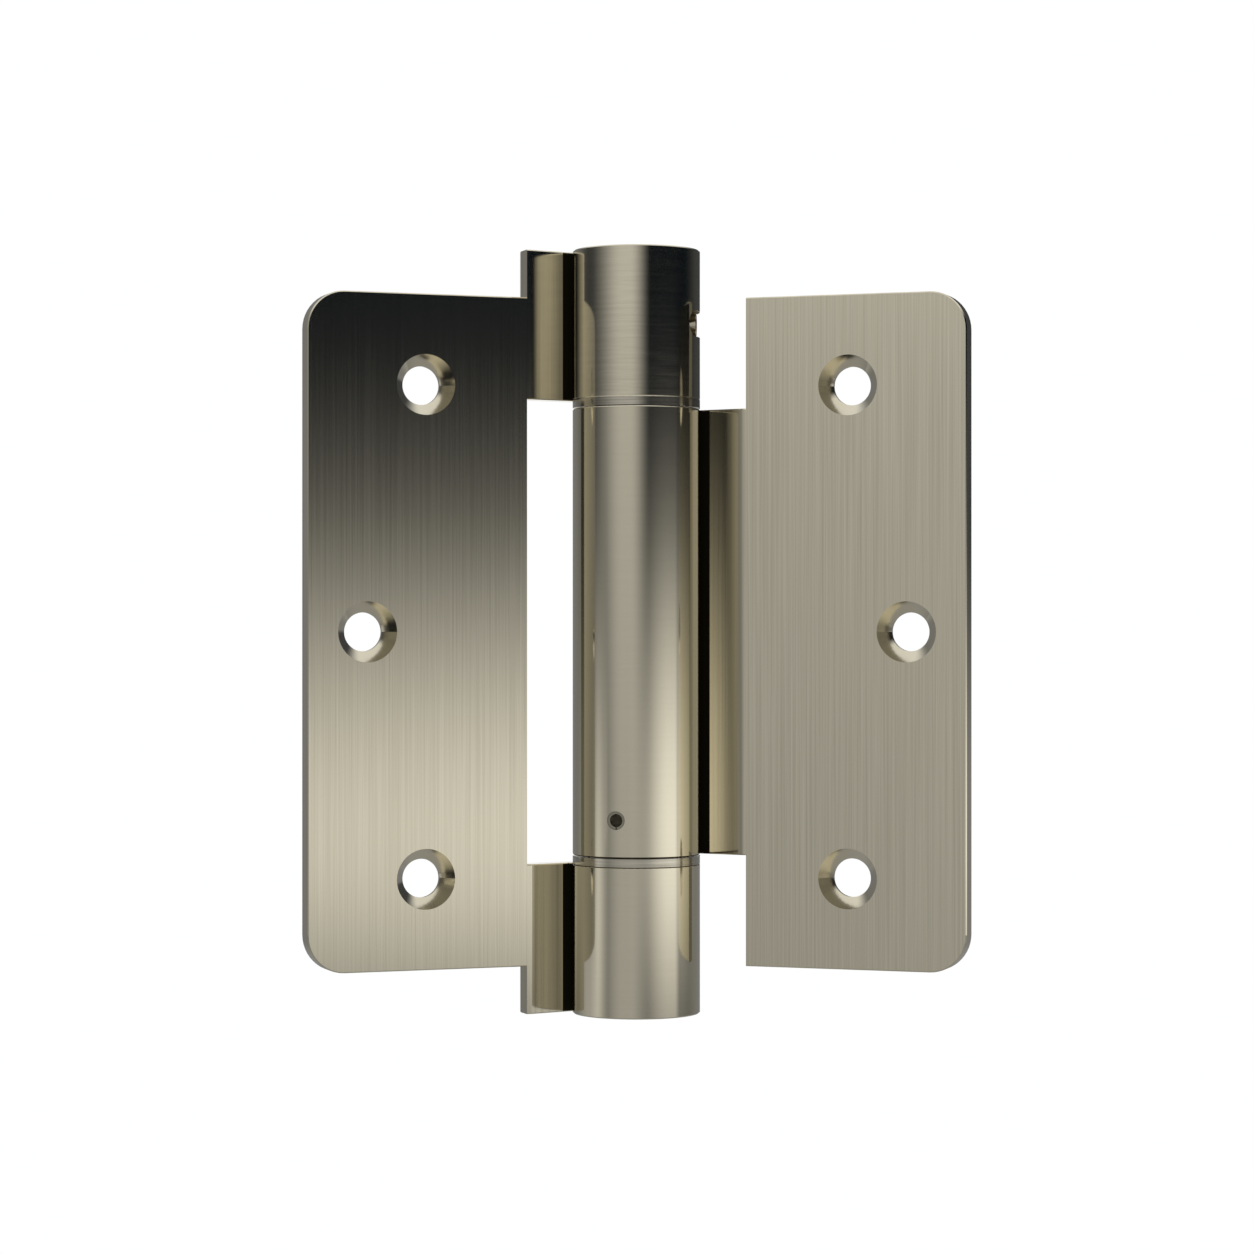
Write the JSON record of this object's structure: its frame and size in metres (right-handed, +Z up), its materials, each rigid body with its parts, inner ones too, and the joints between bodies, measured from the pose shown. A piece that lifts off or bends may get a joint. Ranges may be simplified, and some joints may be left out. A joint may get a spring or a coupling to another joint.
{
  "type": "spring hinge",
  "caption": "Self-closing door hinge with two rounded-corner leaves, a sprung barrel and a tension plug locked by a pin in a slot.",
  "frame": {"origin": "on the pin axis, at the middle of the barrel's length", "axes": "+Z up the pin axis, +Y out of the back of the frame leaf, -X along the frame leaf away from the barrel"},
  "size_m": [0.0821, 0.0347, 0.1016],
  "materials": {
    "leaf_finish": "satin nickel plate, brushed",
    "washer_finish": "satin nickel plate, turned",
    "plug_steel": "turned steel",
    "pin_steel": "ground steel",
    "spring_steel": "oiled spring steel",
    "bush_plastic": "moulded acetal"
  },
  "bodies": {
    "frame": {"frame_leaf": "leaf_finish", "upper_washer": "washer_finish", "lower_washer": "washer_finish", "lower_pintle": "plug_steel"},
    "door": {"door_leaf": "leaf_finish", "upper_bush": "bush_plastic", "lower_bush": "bush_plastic", "anchor_plug": "plug_steel", "anchor_pin": "pin_steel", "torsion_spring": "spring_steel"},
    "tensioner": {"tension_plug": "plug_steel"},
    "lock": {"locking_pin": "pin_steel"}
  },
  "joints": [
    {"name": "door_swing", "type": "hinge", "parent": "frame", "child": "door", "pos_m": [0, 0, 0], "axis": [0, 0, 1], "range_deg": [-140, 40], "stiffness_Nm_per_rad": 0.5, "deforming": ["torsion_spring"]},
    {"name": "tension_turn", "type": "hinge", "parent": "frame", "child": "tensioner", "pos_m": [0, 0, 0], "axis": [0, 0, 1], "range_deg": [-23.4, 23.4], "deforming": ["torsion_spring"]},
    {"name": "locking_pin_pull", "type": "slide", "parent": "tensioner", "child": "lock", "axis": [0.9397, -0.342, 0], "range_m": [0, 0.0056]}
  ]
}
